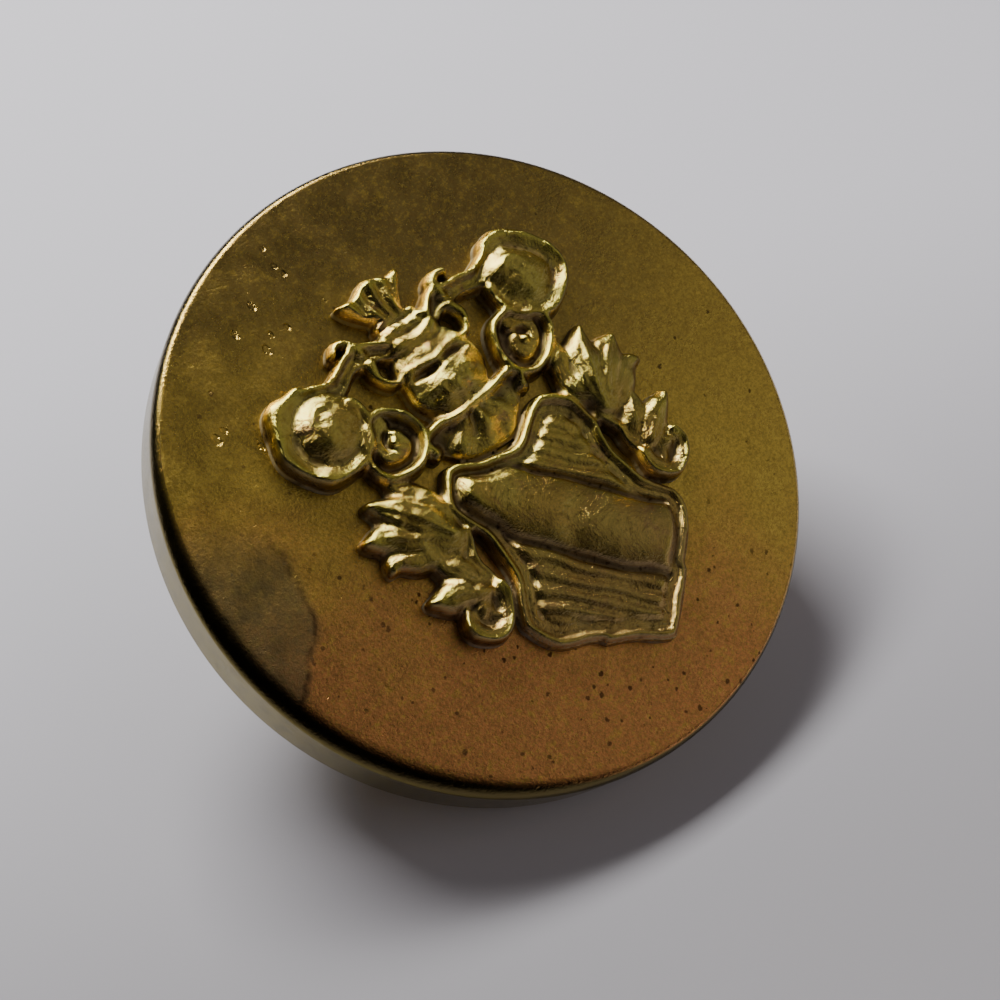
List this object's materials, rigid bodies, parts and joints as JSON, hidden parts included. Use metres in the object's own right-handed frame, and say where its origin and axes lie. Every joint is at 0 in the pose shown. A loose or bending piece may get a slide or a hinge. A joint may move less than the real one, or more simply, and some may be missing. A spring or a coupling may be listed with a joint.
{
  "type": "shank button badge",
  "caption": "Round gilt-brass shank button with a flat face, rounded shoulder, applied heraldic emblem and wire eye on a dished back plate.",
  "frame": {"origin": "centre of the shank's eye, on the button's axis", "axes": "+Z along the button's axis from the eye to the face, +Y towards the top of the emblem, +X through the shank's eye and to the emblem's right as seen from the front"},
  "size_m": [0.0154, 0.0154, 0.0068],
  "materials": {
    "gilt_face": "worn gilt, fine grained mirror",
    "gilt_emblem": "worn gilt, bright on the high points and dark in the recesses",
    "back_brass": "satin, lightly tarnished",
    "wire_brass": "drawn wire, lightly tarnished",
    "lug_brass": "rolled strip",
    "washer_brass": "rolled sheet",
    "card": "grey-brown pressed card"
  },
  "bodies": {
    "root": {"face_shell": "gilt_face", "emblem": "gilt_emblem", "emblem_lug_upper": "lug_brass", "emblem_lug_lower": "lug_brass", "filler_disc": "card", "back_plate": "back_brass", "shank_loop": "wire_brass", "shank_collar": "back_brass", "anchor_washer": "washer_brass"}
  },
  "joints": []
}
